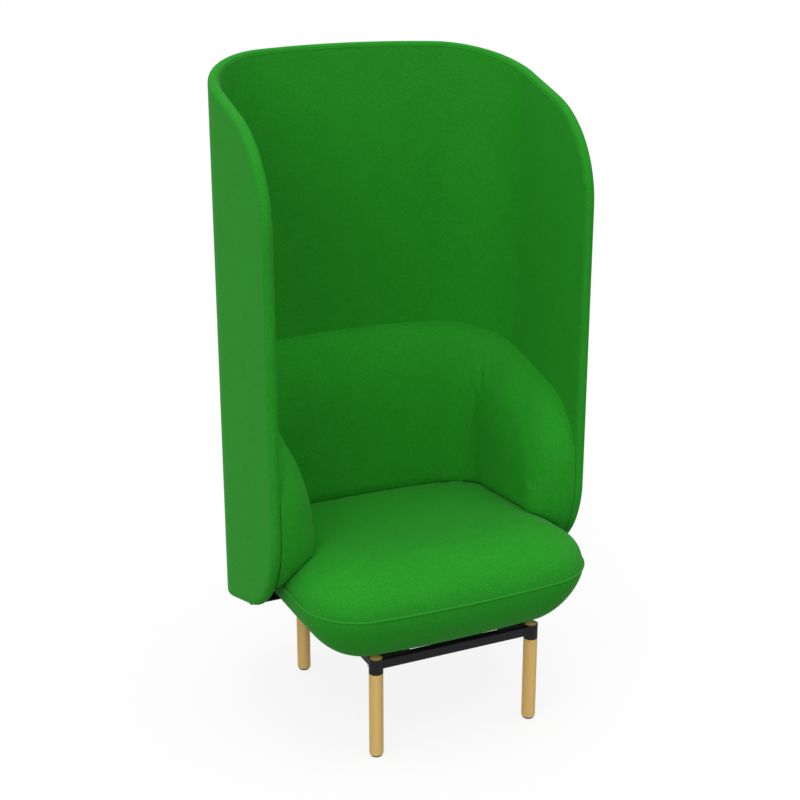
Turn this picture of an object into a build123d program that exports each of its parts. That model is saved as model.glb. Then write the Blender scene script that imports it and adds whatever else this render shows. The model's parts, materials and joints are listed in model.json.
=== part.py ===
# Acoustic high back lounge chair: a tall U-shaped upholstered shell round a low cushioned
# seat, on a black steel base with four round wooden legs.
# Millimetres, +Z up, the front faces -Y, the origin lies on the floor under the middle.
import os
from math import cos, radians, sin, sqrt, tan
from build123d import *

os.makedirs("parts", exist_ok=True)

# ---- driving dimensions ----------------------------------------------------------------
# shell, seen from above
shell_width = 770.0
shell_back_y = 337.5          # outer face of the back, on the centre line
shell_front_y = -150.5        # front edge of both wings
shell_corner_radius = 194.0
shell_bow_radius = 1700.0     # slight bow of the back
shell_outer_layer = 6.0
shell_core_thickness = 10.0
shell_inner_layer = 8.0
shell_rim_radius = 9.0
shell_core_margin = 9.0       # from the rim to the edge of the plywood

# shell, seen from the side
shell_top_z = 1485.5          # top of the back, on the centre line
shell_top_slope = 0.323       # fall of the rim towards the front
shell_bottom_z = 193.0        # bottom of the back, on the centre line
shell_bottom_slope = 0.287    # rise of the lower edge towards the front
wing_corner_radius = 235.0

# low back and arm cushions
tub_inner_half_width = 274.0
tub_back_y = 239.5            # face of the back cushion
tub_inner_radius = 90.0
tub_front_setback = 2.0       # behind the front edge of the wings
tub_top_z = 809.0             # where the back cushion meets the shell
tub_top_slope = 0.27
tub_front_radius = 165.0
tub_edge_radius = 52.0
backing_board = 9.0
backing_board_margin = 34.0

# seat
seam_z = 366.0
seat_side_gap = 21.0          # between the seat and the inside of the shell
seat_front_y = -335.5
seat_front_bow = 2600.0
seat_front_radius = 135.0
seat_crown_z = 459.0          # highest point of the seat, near its front
seat_crown_y = -280.0
seat_crown_radius = 3000.0
seat_shoulder_taper = 28.0    # degrees that the side leans in above the seam
seat_shoulder_radius = 45.0
seat_tuck_taper = 20.0        # degrees that the side leans in below the seam
seat_tuck_radius = 71.0
deck_thickness = 15.0
deck_inset = 97.0             # from the side of the seat, past the tucked edge
cover_margin = 5.0            # from the edge of the deck to the dust cover
dust_cover_thickness = 1.5
welt_diameter = 5.0
welt_proud = 2.0              # beyond the side of the seat
welt_rounding = 2.2

# base
leg_diameter = 32.0
leg_spacing_x = 384.0
leg_spacing_y = 432.0
leg_centre_y = -37.0          # middle of the four legs
leg_edge_radius = 5.0
tenon_diameter = 28.0
sleeve_bottom_z = 204.5
rail_size = 22.0
rail_wall = 2.0
rail_corner_radius = 3.0
rail_top_z = 237.0
plate_thickness = 4.0
plate_size = 82.0
bolt_near = 46.0              # bolt places in a plate, from the axis of the leg
bolt_far = 66.0
glide_height = 3.0
glide_diameter = 26.0

# fasteners
bolt_diameter = 8.0
bolt_head_diameter = 14.0
bolt_head_height = 4.5
bolt_length = 20.0
tee_nut_diameter = 10.0
tee_nut_depth = 9.0
tee_nut_flange = 22.0
tee_nut_flange_height = 1.5
leg_screw_diameter = 5.0
leg_screw_length = 18.0
leg_screw_head = 8.0
leg_screw_head_height = 2.5
leg_screw_turn = 62.0         # degrees round the sleeve, from the rear towards the outside
nail_diameter = 2.6
nail_length = 20.0
nail_head = 7.0
nail_head_height = 1.0
nail_recess = 1.0             # from the floor to the head of the nail
board_screw_diameter = 4.5
board_screw_head = 9.0
board_screw_head_height = 3.0
board_screw_length = 23.0
board_screw_heights = (470.0, 600.0)
board_screw_side_y = (-58.0, 72.0)
board_screw_back_x = 90.0
staple_wire = 1.2
staple_width = 10.0
staple_depth = 6.0
staple_pitch = 66.0
staple_margin = 12.0          # from the edge of the dust cover
side_staples = 5
end_staples = 4

# shell brackets
bracket_width = 50.0
bracket_thickness = 4.0
bracket_foot = 55.0           # how far a bracket reaches over the deck
bracket_height = 80.0
side_bracket_y = 95.0
bracket_bolt_diameter = 6.0
bracket_bolt_head = 11.0
bracket_bolt_head_height = 3.5
bracket_bolt_spread = 28.0
deck_bolt_length = 16.0
shell_bolt_length = 20.0
shell_bolt_drop = (16.0, 40.0)  # from the top of a bracket

fit = 0.15                    # radial clearance of pins in holes

# ---- sizes worked out from the driving dimensions ---------------------------------------
shell_thickness = shell_outer_layer + shell_core_thickness + shell_inner_layer
shell_mid = shell_thickness / 2
core_start = shell_outer_layer
core_end = shell_outer_layer + shell_core_thickness
half_shell = shell_width / 2
inner_half = half_shell - shell_thickness
inner_back_y = shell_back_y - shell_thickness
clear_front_y = shell_front_y - 60.0
bow_centre_y = shell_back_y - shell_bow_radius
corner_x = half_shell - shell_corner_radius
corner_y = bow_centre_y + sqrt((shell_bow_radius - shell_corner_radius) ** 2 - corner_x**2)

tub_front_y = shell_front_y + tub_front_setback
tub_bottom_z = seam_z + welt_diameter
board_start = shell_thickness
board_end = shell_thickness + backing_board

seat_inset = shell_thickness + seat_side_gap
seat_half = half_shell - seat_inset
seat_bottom_z = rail_top_z + plate_thickness
deck_top_z = seat_bottom_z + deck_thickness
deck_half = seat_half - deck_inset
deck_front_y = seat_front_y + deck_inset
deck_rear_y = shell_back_y - seat_inset - deck_inset

sleeve_top_z = seat_bottom_z - 1.0
leg_radius = leg_diameter / 2
rail_mid_z = rail_top_z - rail_size / 2
sleeve_mid_z = (sleeve_bottom_z + sleeve_top_z) / 2
leg_x = leg_spacing_x / 2
leg_front_y = leg_centre_y - leg_spacing_y / 2
leg_rear_y = leg_centre_y + leg_spacing_y / 2
leg_places = {
    "front_left": (-leg_x, leg_front_y),
    "front_right": (leg_x, leg_front_y),
    "rear_left": (-leg_x, leg_rear_y),
    "rear_right": (leg_x, leg_rear_y),
}


# ---- shared outlines --------------------------------------------------------------------
def bowed_plan(half, rear_y, rear_bow, rear_radius, front_y):
    """A plan with a bowed back and rounded rear corners, closed straight at front_y."""
    rear_side_y = rear_y - rear_bow + sqrt(rear_bow**2 - half**2)
    with BuildSketch() as plan:
        with BuildLine():
            Polyline((-half, rear_side_y), (-half, front_y), (half, front_y), (half, rear_side_y))
            ThreePointArc((half, rear_side_y), (0, rear_y), (-half, rear_side_y))
        make_face()
        rear_corners = plan.vertices().sort_by(Axis.Y)[-2:]
        fillet(rear_corners, radius=rear_radius)
    return plan.sketch


def shell_plan(inset, front_y=clear_front_y):
    """The D-shaped plan of the shell, moved in by inset."""
    return bowed_plan(
        half_shell - inset,
        shell_back_y - inset,
        shell_bow_radius - inset,
        shell_corner_radius - inset,
        front_y,
    )


def seat_plan(inset):
    """The plan of the seat, which follows the shell and ends in a bowed front."""
    half = seat_half - inset
    front_y = seat_front_y + inset
    front_bow = seat_front_bow - inset
    front_side_y = front_y + front_bow - sqrt(front_bow**2 - half**2)
    rear = shell_plan(seat_inset + inset, front_side_y)
    with BuildSketch() as plan:
        with BuildLine():
            Line((-half, front_side_y), (half, front_side_y))
            ThreePointArc((half, front_side_y), (0, front_y), (-half, front_side_y))
        make_face()
        add(rear)
        front_corners = plan.vertices().sort_by(Axis.Y)[:2]
        fillet(front_corners, radius=seat_front_radius - inset)
    return plan.sketch


def rim_z(y):
    """Height of the sloping top line of the shell at y."""
    return shell_top_z - shell_top_slope * (shell_back_y - y)


def hem_z(y):
    """Height of the sloping bottom line of the shell at y."""
    return shell_bottom_z + shell_bottom_slope * (shell_back_y - y)


def tub_rim_z(y):
    """Height of the sloping top line of the low back and arms at y."""
    return tub_top_z - tub_top_slope * (inner_back_y - y)


def side_profile(margin):
    """The shell seen from the side (Y across, Z up), drawn in by margin on every edge."""
    rear_y = shell_back_y + wing_corner_radius
    with BuildSketch() as profile:
        with BuildLine():
            Polyline(
                (rear_y, rim_z(rear_y)),
                (shell_front_y, rim_z(shell_front_y)),
                (shell_front_y, hem_z(shell_front_y)),
                (rear_y, hem_z(rear_y)),
                close=True,
            )
        make_face()
        wing_corners = profile.vertices().sort_by(Axis.X)[:2]
        fillet(wing_corners, radius=wing_corner_radius)
        if margin > 0:
            offset(amount=-margin, mode=Mode.REPLACE)
    return profile.sketch


def tub_profile(margin):
    """The low back and arms seen from the side (Y across, Z up), drawn in by margin."""
    rear_y = shell_back_y + wing_corner_radius
    front_y = tub_front_y + margin
    with BuildSketch() as profile:
        with BuildLine():
            Polyline(
                (rear_y, tub_rim_z(rear_y) - margin),
                (front_y, tub_rim_z(front_y) - margin),
                (front_y, tub_bottom_z + margin),
                (rear_y, tub_bottom_z + margin),
                close=True,
            )
        make_face()
        top_corner = profile.vertices().sort_by(Axis.X)[:2].sort_by(Axis.Y)[-1:]
        fillet(top_corner, radius=tub_front_radius - margin)
        add(side_profile(tub_front_setback + margin), mode=Mode.INTERSECT)
    return profile.sketch


def wall_between(outer_inset, inner_inset, profile):
    """A U-shaped layer between two insets of the shell's plan, cut to a side profile."""
    with BuildPart() as wall:
        with BuildSketch():
            add(shell_plan(outer_inset))
            add(shell_plan(inner_inset, clear_front_y - shell_thickness), mode=Mode.SUBTRACT)
        extrude(amount=shell_top_z + shell_thickness)
        with BuildSketch(Plane.YZ):
            add(profile)
        extrude(amount=shell_width, both=True, mode=Mode.INTERSECT)
    return wall.part


def depth_in_shell(point):
    """How far a point lies inside the outer face of the shell, seen from above."""
    x = abs(point.X)
    if point.Y <= corner_y:
        return half_shell - x
    from_bow_centre = point.Y - bow_centre_y
    if x * (corner_y - bow_centre_y) > corner_x * from_bow_centre:
        return shell_corner_radius - sqrt((x - corner_x) ** 2 + (point.Y - corner_y) ** 2)
    return shell_bow_radius - sqrt(x**2 + from_bow_centre**2)


def is_rim_edge(edge, front_y):
    """Whether an edge belongs to the rim: an upright edge does only at the front."""
    start, end = edge.position_at(0), edge.position_at(1)
    upright = abs(start.X - end.X) + abs(start.Y - end.Y) < 0.01
    return not upright or abs(start.Y - front_y) < 0.01


def save(piece, name):
    """Label a finished piece and write its file."""
    piece.label = name
    export_step(piece, f"parts/{name}.step")


def headed_pin(seat, shank, length, head, head_height):
    """A bolt, screw or nail: its shank along the plane's z axis, its head behind the plane."""
    with BuildPart(seat) as pin:
        Cylinder(shank / 2, length, align=(Align.CENTER, Align.CENTER, Align.MIN))
        Cylinder(head / 2, head_height, align=(Align.CENTER, Align.CENTER, Align.MAX))
    return pin.part


def pin_hole(seat, shank, length):
    """The clearance hole for a pin's shank."""
    with BuildPart(seat) as hole:
        Cylinder(shank / 2 + fit, length, align=(Align.CENTER, Align.CENTER, Align.MIN))
    return hole.part


# ---- legs, sleeves and glides -----------------------------------------------------------
leg_screw_seats = {}
nail_seats = {}
for corner, (x, y) in leg_places.items():
    outward = Vector(
        (1 if x > 0 else -1) * sin(radians(leg_screw_turn)),
        cos(radians(leg_screw_turn)),
        0,
    )
    screw_origin = Vector(x, y, sleeve_mid_z) + outward * leg_radius
    leg_screw_seats[corner] = Plane(origin=screw_origin, z_dir=outward * -1)
    nail_seats[corner] = Plane(origin=(x, y, nail_recess + nail_head_height))

for corner, (x, y) in leg_places.items():
    screw_hole = pin_hole(leg_screw_seats[corner], leg_screw_diameter, leg_screw_length)
    nail_hole = pin_hole(nail_seats[corner], nail_diameter, nail_length)

    with BuildPart() as leg:
        with BuildSketch(Plane(origin=(x, y, glide_height))):
            Circle(leg_radius)
        extrude(amount=sleeve_bottom_z - glide_height)
        fillet(leg.faces().sort_by(Axis.Z)[0].edges(), radius=leg_edge_radius)
        with BuildSketch(Plane(origin=(x, y, sleeve_bottom_z))):
            Circle(tenon_diameter / 2 - fit)
        extrude(amount=sleeve_top_z - sleeve_bottom_z)
        add(screw_hole, mode=Mode.SUBTRACT)
        add(nail_hole, mode=Mode.SUBTRACT)
    save(leg.part, f"leg_{corner}")

    with BuildPart() as sleeve:
        with BuildSketch(Plane(origin=(x, y, sleeve_bottom_z))):
            Circle(leg_radius)
            Circle(tenon_diameter / 2, mode=Mode.SUBTRACT)
        extrude(amount=sleeve_top_z - sleeve_bottom_z)
        add(screw_hole, mode=Mode.SUBTRACT)
    save(sleeve.part, f"sleeve_{corner}")

    with BuildPart() as glide:
        with BuildSketch(Plane(origin=(x, y, 0))):
            Circle(glide_diameter / 2)
        extrude(amount=glide_height)
        chamfer(glide.faces().sort_by(Axis.Z)[0].edges(), length=glide_height / 3)
        with BuildSketch(Plane(origin=(x, y, 0))):
            Circle(nail_head / 2 + fit)
        extrude(amount=nail_recess + nail_head_height, mode=Mode.SUBTRACT)
        add(nail_hole, mode=Mode.SUBTRACT)
    save(glide.part, f"glide_{corner}")

with BuildPart() as leg_screws:
    for seat in leg_screw_seats.values():
        add(
            headed_pin(
                seat, leg_screw_diameter, leg_screw_length, leg_screw_head, leg_screw_head_height
            )
        )
save(leg_screws.part, "leg_screws")

with BuildPart() as glide_nails:
    for seat in nail_seats.values():
        add(headed_pin(seat, nail_diameter, nail_length, nail_head, nail_head_height))
save(glide_nails.part, "glide_nails")

# ---- rails and mounting plates ----------------------------------------------------------
with BuildSketch() as rail_section:
    RectangleRounded(rail_size, rail_size, rail_corner_radius)
    RectangleRounded(
        rail_size - 2 * rail_wall,
        rail_size - 2 * rail_wall,
        rail_corner_radius - rail_wall / 2,
        mode=Mode.SUBTRACT,
    )

with BuildPart() as leg_bores:
    for x, y in leg_places.values():
        with BuildSketch(Plane(origin=(x, y, 0))):
            Circle(leg_radius)
        extrude(amount=seat_bottom_z + leg_diameter)

for end, y in (("front", leg_front_y), ("rear", leg_rear_y)):
    with BuildPart() as cross_rail:
        with BuildSketch(Plane(origin=(0, y, rail_mid_z), x_dir=(0, 1, 0), z_dir=(1, 0, 0))):
            add(rail_section.sketch)
        extrude(amount=leg_x, both=True)
        add(leg_bores.part, mode=Mode.SUBTRACT)
    save(cross_rail.part, f"rail_{end}")

for side, x in (("left", -leg_x), ("right", leg_x)):
    side_rail_plane = Plane(origin=(x, leg_centre_y, rail_mid_z), x_dir=(1, 0, 0), z_dir=(0, 1, 0))
    with BuildPart() as side_rail:
        with BuildSketch(side_rail_plane):
            add(rail_section.sketch)
        extrude(amount=leg_spacing_y / 2, both=True)
        add(leg_bores.part, mode=Mode.SUBTRACT)
    save(side_rail.part, f"rail_{side}")

bolt_seats = []
plates = {}
for corner, (x, y) in leg_places.items():
    inward_x = -1 if x > 0 else 1
    inward_y = -1 if y > leg_centre_y else 1
    for step_x, step_y in ((bolt_near, bolt_far), (bolt_far, bolt_near)):
        bolt_seats.append(
            Plane(origin=(x + inward_x * step_x, y + inward_y * step_y, rail_top_z))
        )
    plate_centre = (x + inward_x * plate_size / 2, y + inward_y * plate_size / 2, rail_top_z)
    with BuildPart() as plate:
        with BuildSketch(Plane(origin=plate_centre)):
            RectangleRounded(plate_size, plate_size, rail_corner_radius)
        extrude(amount=plate_thickness)
        add(leg_bores.part, mode=Mode.SUBTRACT)
        for seat in bolt_seats[-2:]:
            add(pin_hole(seat, bolt_diameter, plate_thickness), mode=Mode.SUBTRACT)
    plates[corner] = plate.part
    save(plate.part, f"mount_plate_{corner}")

with BuildPart() as deck_bolts:
    for seat in bolt_seats:
        add(headed_pin(seat, bolt_diameter, bolt_length, bolt_head_diameter, bolt_head_height))
save(deck_bolts.part, "deck_bolts")

with BuildPart() as deck_tee_nuts:
    for seat in bolt_seats:
        with BuildSketch(Plane(origin=(seat.origin.X, seat.origin.Y, deck_top_z))):
            Circle(tee_nut_flange / 2)
        extrude(amount=tee_nut_flange_height)
        with BuildSketch(Plane(origin=(seat.origin.X, seat.origin.Y, deck_top_z))):
            Circle(tee_nut_diameter / 2)
        extrude(amount=-tee_nut_depth)
    for seat in bolt_seats:
        add(pin_hole(seat, bolt_diameter, bolt_length + bolt_head_height), mode=Mode.SUBTRACT)
save(deck_tee_nuts.part, "deck_tee_nuts")

# ---- shell brackets ---------------------------------------------------------------------
# each bracket lies on the deck with its foot and against the inside of the shell with its
# upright; its frame has x across the bracket, y towards the shell and z up
bow_sag = (bracket_width / 2) ** 2 / (2 * (shell_bow_radius - shell_thickness))
bracket_frames = {
    "left": (Vector(-inner_half, side_bracket_y, deck_top_z), Vector(-1, 0, 0), deck_half),
    "right": (Vector(inner_half, side_bracket_y, deck_top_z), Vector(1, 0, 0), deck_half),
    "rear": (Vector(0, inner_back_y - bow_sag, deck_top_z), Vector(0, 1, 0), deck_rear_y),
}
deck_bolt_seats = []
shell_bolt_seats = []
bracket_blanks = []
for side, (foot_end, outward, deck_edge) in bracket_frames.items():
    across = Vector(0, 0, 1).cross(outward)
    reach = abs(foot_end.dot(outward)) - deck_edge + bracket_foot
    hole_x = reach - bracket_foot / 2
    for step in (-bracket_bolt_spread / 2, bracket_bolt_spread / 2):
        deck_bolt = foot_end - outward * hole_x + across * step
        deck_bolt_seats.append(
            Plane(origin=deck_bolt + Vector(0, 0, bracket_thickness), z_dir=(0, 0, -1))
        )
        for drop in shell_bolt_drop:
            shell_bolt = foot_end - outward * bracket_thickness + across * step
            shell_bolt_seats.append(
                Plane(origin=shell_bolt + Vector(0, 0, bracket_height - drop), z_dir=outward)
            )
    with BuildPart() as bracket:
        with BuildSketch(Plane(origin=foot_end, x_dir=outward * -1, z_dir=across)):
            with BuildLine():
                Polyline(
                    (0, 0),
                    (reach, 0),
                    (reach, bracket_thickness),
                    (bracket_thickness, bracket_thickness),
                    (bracket_thickness, bracket_height),
                    (0, bracket_height),
                    close=True,
                )
            make_face()
        extrude(amount=bracket_width / 2, both=True)
        bracket_blanks.append(bracket.part)
        for seat in deck_bolt_seats[-2:] + shell_bolt_seats[-4:]:
            add(pin_hole(seat, bracket_bolt_diameter, bracket_thickness), mode=Mode.SUBTRACT)
    save(bracket.part, f"shell_bracket_{side}")

with BuildPart() as bracket_bolts:
    for seat in deck_bolt_seats:
        add(
            headed_pin(
                seat,
                bracket_bolt_diameter,
                deck_bolt_length,
                bracket_bolt_head,
                bracket_bolt_head_height,
            )
        )
    for seat in shell_bolt_seats:
        add(
            headed_pin(
                seat,
                bracket_bolt_diameter,
                shell_bolt_length,
                bracket_bolt_head,
                bracket_bolt_head_height,
            )
        )
save(bracket_bolts.part, "bracket_bolts")

# ---- seat deck and dust cover -----------------------------------------------------------
staple_places = []
for index in range(side_staples):
    y = leg_centre_y + (index - (side_staples - 1) / 2) * staple_pitch
    for x in (-deck_half, deck_half):
        inset_x = x - (staple_margin + cover_margin) * (1 if x > 0 else -1)
        staple_places.append(Plane(origin=(inset_x, y, seat_bottom_z), x_dir=(0, 1, 0)))
for index in range(end_staples):
    x = (index - (end_staples - 1) / 2) * staple_pitch
    front_sag = x**2 / (2 * seat_front_bow)
    rear_sag = x**2 / (2 * shell_bow_radius)
    front_y = deck_front_y + front_sag + cover_margin + staple_margin
    rear_y = deck_rear_y - rear_sag - cover_margin - staple_margin
    staple_places.append(Plane(origin=(x, front_y, seat_bottom_z)))
    staple_places.append(Plane(origin=(x, rear_y, seat_bottom_z)))

with BuildPart() as staples:
    for place in staple_places:
        crown_plane = place.offset(-dust_cover_thickness)
        with BuildSketch(crown_plane):
            Rectangle(staple_width, staple_wire)
        extrude(amount=-staple_wire)
        with BuildSketch(crown_plane):
            with Locations(
                ((staple_wire - staple_width) / 2, 0), ((staple_width - staple_wire) / 2, 0)
            ):
                Rectangle(staple_wire, staple_wire)
        extrude(amount=staple_depth)
save(staples.part, "staples")

with BuildPart() as seat_deck:
    with BuildSketch(Plane.XY.offset(seat_bottom_z)):
        add(seat_plan(deck_inset))
    extrude(amount=deck_thickness)
    for seat in bolt_seats:
        nut_hole = pin_hole(seat, tee_nut_diameter - 2 * fit, plate_thickness + deck_thickness)
        add(nut_hole, mode=Mode.SUBTRACT)
    for seat in deck_bolt_seats:
        add(pin_hole(seat, bracket_bolt_diameter, deck_bolt_length), mode=Mode.SUBTRACT)
    add(staples.part, mode=Mode.SUBTRACT)
save(seat_deck.part, "seat_deck")

with BuildPart() as dust_cover:
    with BuildSketch(Plane.XY.offset(seat_bottom_z)):
        add(seat_plan(deck_inset + cover_margin))
    extrude(amount=-dust_cover_thickness)
    for plate_part in plates.values():
        add(plate_part, mode=Mode.SUBTRACT)
    add(leg_bores.part, mode=Mode.SUBTRACT)
    for seat in bolt_seats:
        add(pin_hole(seat, bolt_diameter, plate_thickness), mode=Mode.SUBTRACT)
    add(staples.part, mode=Mode.SUBTRACT)
save(dust_cover.part, "dust_cover")

# ---- shell ------------------------------------------------------------------------------
head_inset = board_end + fit
board_screw_seats = []
for height in board_screw_heights:
    for y in board_screw_side_y:
        for side in (-1, 1):
            board_screw_seats.append(
                Plane(origin=(side * (half_shell - head_inset), y, height), z_dir=(side, 0, 0))
            )
    for x in (-board_screw_back_x, board_screw_back_x):
        from_centre = Vector(x, sqrt((shell_bow_radius - head_inset) ** 2 - x**2), 0)
        on_board = Vector(0, bow_centre_y, height) + from_centre
        board_screw_seats.append(Plane(origin=on_board, z_dir=from_centre.normalized()))

with BuildPart() as board_screws:
    for seat in board_screw_seats:
        add(
            headed_pin(
                seat,
                board_screw_diameter,
                board_screw_length,
                board_screw_head,
                board_screw_head_height,
            )
        )
save(board_screws.part, "board_screws")

with BuildPart() as wall_holes:
    for seat in shell_bolt_seats:
        add(pin_hole(seat, bracket_bolt_diameter, shell_bolt_length + fit))
    for seat in board_screw_seats:
        add(pin_hole(seat, board_screw_diameter, board_screw_length + fit))

core_blank = wall_between(core_start, core_end, side_profile(shell_core_margin))
with BuildPart() as shell_core:
    add(core_blank)
    add(wall_holes.part, mode=Mode.SUBTRACT)
save(shell_core.part, "shell_core")

with BuildPart() as shell_outer_pad:
    add(wall_between(0, shell_mid, side_profile(0)))
    outer_rim = [
        edge
        for edge in shell_outer_pad.edges()
        if depth_in_shell(edge.position_at(0.5)) < 0.5 and is_rim_edge(edge, shell_front_y)
    ]
    fillet(outer_rim, radius=shell_rim_radius)
    add(core_blank, mode=Mode.SUBTRACT)
save(shell_outer_pad.part, "shell_outer_pad")

with BuildPart() as shell_inner_pad:
    add(wall_between(shell_mid, shell_thickness, side_profile(0)))
    inner_rim = [
        edge
        for edge in shell_inner_pad.edges()
        if depth_in_shell(edge.position_at(0.5)) > shell_thickness - 0.5
        and is_rim_edge(edge, shell_front_y)
    ]
    fillet(inner_rim, radius=shell_rim_radius)
    add(core_blank, mode=Mode.SUBTRACT)
    add(wall_holes.part, mode=Mode.SUBTRACT)
save(shell_inner_pad.part, "shell_inner_pad")

# ---- seat cushions ----------------------------------------------------------------------
# the square groove that both cushions leave for the welt, which is rounded inside it
with BuildPart() as welt_groove:
    with BuildSketch(Plane.XY.offset(seam_z - welt_diameter / 2)):
        add(seat_plan(-welt_proud))
        add(seat_plan(welt_diameter - welt_proud), mode=Mode.SUBTRACT)
    extrude(amount=welt_diameter)

with BuildPart() as seat_welt:
    add(welt_groove.part)
    fillet(seat_welt.faces().filter_by(Axis.Z).edges(), radius=welt_rounding)
save(seat_welt.part, "seat_welt")

blank_top_z = seat_crown_z + seat_shoulder_radius
with BuildPart() as seat_upper_cushion:
    with BuildSketch(Plane.XY.offset(seam_z)):
        add(seat_plan(0))
    with BuildSketch(Plane.XY.offset(blank_top_z)):
        add(seat_plan((blank_top_z - seam_z) * tan(radians(seat_shoulder_taper))))
    loft(ruled=True)
    with Locations((0, seat_crown_y, seat_crown_z - seat_crown_radius)):
        Sphere(seat_crown_radius, mode=Mode.INTERSECT)
    shoulder = seat_upper_cushion.faces().sort_by(Axis.Z)[-1].edges()
    fillet(shoulder, radius=seat_shoulder_radius)
    add(welt_groove.part, mode=Mode.SUBTRACT)
save(seat_upper_cushion.part, "seat_upper_cushion")

with BuildPart() as seat_lower_cushion:
    with BuildSketch(Plane.XY.offset(seam_z)):
        add(seat_plan(0))
    extrude(amount=seat_bottom_z - seam_z, taper=seat_tuck_taper)
    tuck = seat_lower_cushion.faces().sort_by(Axis.Z)[0].edges()
    fillet(tuck, radius=seat_tuck_radius)
    add(welt_groove.part, mode=Mode.SUBTRACT)
    with BuildSketch(Plane.XY.offset(seat_bottom_z)):
        add(seat_plan(deck_inset))
    extrude(amount=deck_thickness, mode=Mode.SUBTRACT)
    for seat in bolt_seats:
        with BuildSketch(Plane(origin=(seat.origin.X, seat.origin.Y, deck_top_z))):
            Circle(tee_nut_flange / 2)
        extrude(amount=tee_nut_flange_height, mode=Mode.SUBTRACT)
    for blank in bracket_blanks:
        add(blank, mode=Mode.SUBTRACT)
    add(bracket_bolts.part, mode=Mode.SUBTRACT)
save(seat_lower_cushion.part, "seat_lower_cushion")

# ---- low back and arms ------------------------------------------------------------------
board_blank = wall_between(board_start, board_end, tub_profile(backing_board_margin))
with BuildPart() as tub_board:
    add(board_blank)
    for seat in board_screw_seats:
        add(pin_hole(seat, board_screw_diameter, board_screw_length), mode=Mode.SUBTRACT)
save(tub_board.part, "tub_board")

with BuildPart() as tub:
    with BuildSketch(Plane.XY.offset(tub_bottom_z)):
        add(shell_plan(shell_thickness))
        add(
            bowed_plan(
                tub_inner_half_width,
                tub_back_y,
                shell_bow_radius,
                tub_inner_radius,
                clear_front_y - shell_thickness,
            ),
            mode=Mode.SUBTRACT,
        )
    extrude(amount=shell_top_z - tub_bottom_z)
    with BuildSketch(Plane.YZ):
        add(tub_profile(0))
    extrude(amount=shell_width, both=True, mode=Mode.INTERSECT)
    inner_edges = [
        edge
        for edge in tub.edges()
        if abs(edge.position_at(0.5).X) < tub_inner_half_width + 0.5
        and edge.position_at(0.5).Y < tub_back_y + 0.5
        and edge.position_at(0.5).Z > tub_bottom_z + 0.5
        and is_rim_edge(edge, tub_front_y)
    ]
    fillet(inner_edges, radius=tub_edge_radius)
    add(seat_upper_cushion.part, mode=Mode.SUBTRACT)
    add(board_blank, mode=Mode.SUBTRACT)
    add(board_screws.part, mode=Mode.SUBTRACT)

# the arms and the back part at mitres through the inner corners of the U
mitre_x = tub_inner_half_width - tub_inner_radius
mitre_y = tub_back_y - tub_inner_radius
right_mitre = Plane(origin=(mitre_x, mitre_y, 0), z_dir=(-1, 1, 0))
left_mitre = Plane(origin=(-mitre_x, mitre_y, 0), z_dir=(1, 1, 0))
with BuildPart() as arm_cushion_right:
    add(tub.part)
    split(bisect_by=right_mitre, keep=Keep.BOTTOM)
save(arm_cushion_right.part, "arm_cushion_right")

with BuildPart() as arm_cushion_left:
    mirror(arm_cushion_right.part, about=Plane.YZ)
save(arm_cushion_left.part, "arm_cushion_left")

with BuildPart() as back_cushion:
    add(tub.part)
    split(bisect_by=right_mitre, keep=Keep.TOP)
    split(bisect_by=left_mitre, keep=Keep.TOP)
save(back_cushion.part, "back_cushion")
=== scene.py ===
"""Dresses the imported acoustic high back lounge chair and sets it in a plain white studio.

Everything is in metres, +Z up, and the chair faces -Y.
"""

import json
import logging
from collections.abc import Callable, Sequence
from dataclasses import dataclass, field, replace
from enum import Enum
from math import asin, cos, degrees, hypot, pi, radians, sin, sqrt

import bmesh
import bpy
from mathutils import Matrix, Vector

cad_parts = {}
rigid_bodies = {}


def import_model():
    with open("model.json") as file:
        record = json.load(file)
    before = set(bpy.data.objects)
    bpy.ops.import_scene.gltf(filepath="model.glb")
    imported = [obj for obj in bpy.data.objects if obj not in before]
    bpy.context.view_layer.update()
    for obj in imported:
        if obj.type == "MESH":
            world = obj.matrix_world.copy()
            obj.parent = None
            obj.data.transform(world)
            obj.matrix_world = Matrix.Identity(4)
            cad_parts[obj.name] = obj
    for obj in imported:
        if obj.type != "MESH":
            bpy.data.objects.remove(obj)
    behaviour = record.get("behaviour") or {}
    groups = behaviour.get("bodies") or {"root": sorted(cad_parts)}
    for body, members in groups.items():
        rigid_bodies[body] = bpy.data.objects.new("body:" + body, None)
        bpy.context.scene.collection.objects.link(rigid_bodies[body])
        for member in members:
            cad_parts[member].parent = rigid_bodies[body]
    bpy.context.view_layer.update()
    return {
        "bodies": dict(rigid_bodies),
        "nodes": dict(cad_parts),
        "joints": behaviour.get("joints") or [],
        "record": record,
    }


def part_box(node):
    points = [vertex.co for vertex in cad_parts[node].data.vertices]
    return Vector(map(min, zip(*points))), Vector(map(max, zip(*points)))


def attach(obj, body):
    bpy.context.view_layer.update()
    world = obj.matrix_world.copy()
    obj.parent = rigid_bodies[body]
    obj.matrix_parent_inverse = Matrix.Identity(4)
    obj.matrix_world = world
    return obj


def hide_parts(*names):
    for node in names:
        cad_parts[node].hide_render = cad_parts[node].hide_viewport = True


LOG = logging.getLogger("chair")
MM = 0.001
BODY = "root"
WAVE_TURN = 20  # radians that a wave texture turns through in one unit
PITCH = 12 * MM  # largest step of a skin along a straight side
WELD = 0.02 * MM  # points of a skin nearer than this become one
BLEND = 4  # a higher power makes two rolls meet more tightly
UPRIGHT = 0.2  # a path that runs sideways by less than this share counts as upright


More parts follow.
